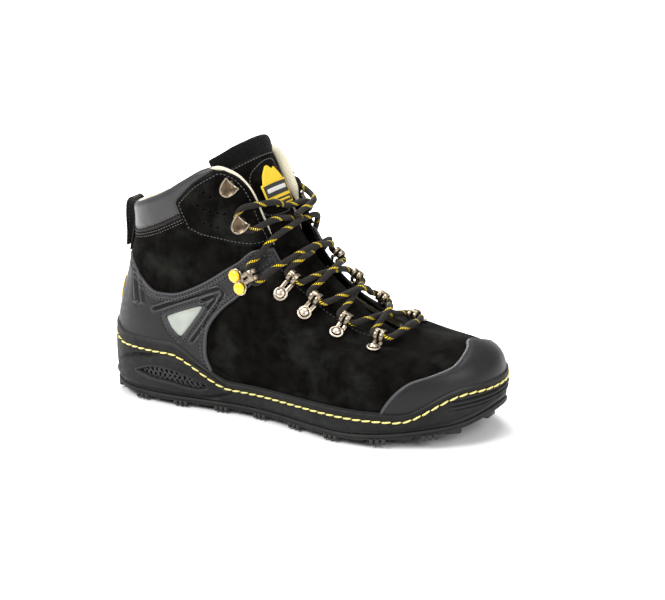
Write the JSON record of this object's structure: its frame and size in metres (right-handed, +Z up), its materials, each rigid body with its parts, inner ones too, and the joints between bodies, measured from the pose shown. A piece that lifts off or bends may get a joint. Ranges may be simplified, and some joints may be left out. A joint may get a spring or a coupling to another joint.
{
  "type": "safety hiking boot",
  "caption": "Right mid-height leather safety hiking boot with lugged sole, bumper toe, moulded heel counter, padded collar, tongue and lace hardware.",
  "frame": {"origin": "on the ground under the centre of the heel, on the flat bottom of the heel tread block", "axes": "+X to the toe, +Y to the inner (medial) side of the right foot, +Z up"},
  "size_m": [0.3071, 0.1187, 0.1948],
  "materials": {
    "rubber": "matte moulded rubber",
    "thread": "waxed yellow thread",
    "steel": "satin",
    "board": "matte fibre board",
    "foam": "open foam",
    "lining": "brushed textile",
    "shell": "satin moulded shell",
    "nubuck": "matte nubuck, lightly scuffed",
    "moulded": "smooth satin moulded overlay",
    "reflective": "retro-reflective film",
    "collar_leather": "smooth soft synthetic leather",
    "suede": "soft suede",
    "patch": "matte moulded patch",
    "strap": "matte leather strap",
    "nickel": "polished nickel",
    "yellow_rivet": "glossy enamel",
    "cord": "braided cord with yellow flecks",
    "tip": "clear-coated tip"
  },
  "bodies": {
    "boot": {"outsole": "rubber", "midsole": "rubber", "welt_stitch": "thread", "shank": "steel", "insole_board": "board", "footbed": "foam", "lining": "lining", "toe_cap_insert": "shell", "heel_stiffener": "board", "ankle_foam": "foam", "vamp": "nubuck", "quarter_lateral": "nubuck", "quarter_medial": "nubuck", "heel_counter": "moulded", "reflector_lateral": "reflective", "reflector_medial": "reflective", "toe_guard": "moulded", "eyelet_panel_lateral": "nubuck", "eyelet_panel_medial": "nubuck", "collar": "collar_leather", "collar_lining": "lining", "heel_badge": "patch", "loop_rivet_L1": "nickel", "loop_rivet_L2": "nickel", "loop_rivet_L3": "nickel", "loop_rivet_L4": "nickel", "ankle_hook_lateral": "nickel", "ankle_rivet_L1": "yellow_rivet", "ankle_rivet_L2": "yellow_rivet", "speed_hook_L1": "nickel", "speed_hook_L2": "nickel", "loop_rivet_M1": "nickel", "loop_rivet_M2": "nickel", "loop_rivet_M3": "nickel", "loop_rivet_M4": "nickel", "ankle_hook_medial": "nickel", "ankle_rivet_M1": "yellow_rivet", "ankle_rivet_M2": "yellow_rivet", "speed_hook_M1": "nickel", "speed_hook_M2": "nickel", "lace": "cord", "aglet_front": "tip", "aglet_back": "tip"},
    "tongue": {"tongue": "suede", "tongue_label": "patch"},
    "pull_loop": {"pull_loop": "strap"},
    "loop_L1": {"lace_loop_L1": "nickel"},
    "loop_L2": {"lace_loop_L2": "nickel"},
    "loop_L3": {"lace_loop_L3": "nickel"},
    "loop_L4": {"lace_loop_L4": "nickel"},
    "loop_M1": {"lace_loop_M1": "nickel"},
    "loop_M2": {"lace_loop_M2": "nickel"},
    "loop_M3": {"lace_loop_M3": "nickel"},
    "loop_M4": {"lace_loop_M4": "nickel"}
  },
  "joints": [
    {"name": "tongue_hinge", "type": "hinge", "parent": "boot", "child": "tongue", "pos_m": [0.196, 0.0032, 0.0605], "axis": [0, -1, 0], "range_deg": [0, 12]},
    {"name": "pull_loop_hinge", "type": "hinge", "parent": "boot", "child": "pull_loop", "pos_m": [-0.0336, 0, 0.1034], "axis": [0, -1, 0], "range_deg": [0, 60]},
    {"name": "loop_L1_swivel", "type": "hinge", "parent": "boot", "child": "loop_L1", "pos_m": [0.1833, -0.03265, 0.06364], "axis": [0.1328, -0.062, 0.9892], "range_deg": [-3, 2]},
    {"name": "loop_L2_swivel", "type": "hinge", "parent": "boot", "child": "loop_L2", "pos_m": [0.15529, -0.03317, 0.07104], "axis": [0.3944, -0.3474, 0.8507], "range_deg": [-3, 2]},
    {"name": "loop_L3_swivel", "type": "hinge", "parent": "boot", "child": "loop_L3", "pos_m": [0.13181, -0.03513, 0.08252], "axis": [0.41, -0.6271, 0.6623], "range_deg": [-3, 2]},
    {"name": "loop_L4_swivel", "type": "hinge", "parent": "boot", "child": "loop_L4", "pos_m": [0.11401, -0.0359, 0.09431], "axis": [0.3608, -0.8292, 0.4269], "range_deg": [-3, 2]},
    {"name": "loop_M1_swivel", "type": "hinge", "parent": "boot", "child": "loop_M1", "pos_m": [0.18329, 0.03643, 0.06364], "axis": [0.1291, 0.0621, 0.9897], "range_deg": [-2, 3]},
    {"name": "loop_M2_swivel", "type": "hinge", "parent": "boot", "child": "loop_M2", "pos_m": [0.15525, 0.03539, 0.07105], "axis": [0.3805, 0.3497, 0.8561], "range_deg": [-2, 3]},
    {"name": "loop_M3_swivel", "type": "hinge", "parent": "boot", "child": "loop_M3", "pos_m": [0.13176, 0.03639, 0.08254], "axis": [0.3913, 0.6327, 0.6682], "range_deg": [-2, 3]},
    {"name": "loop_M4_swivel", "type": "hinge", "parent": "boot", "child": "loop_M4", "pos_m": [0.11396, 0.03663, 0.09432], "axis": [0.3415, 0.8357, 0.4302], "range_deg": [-2, 3]}
  ]
}
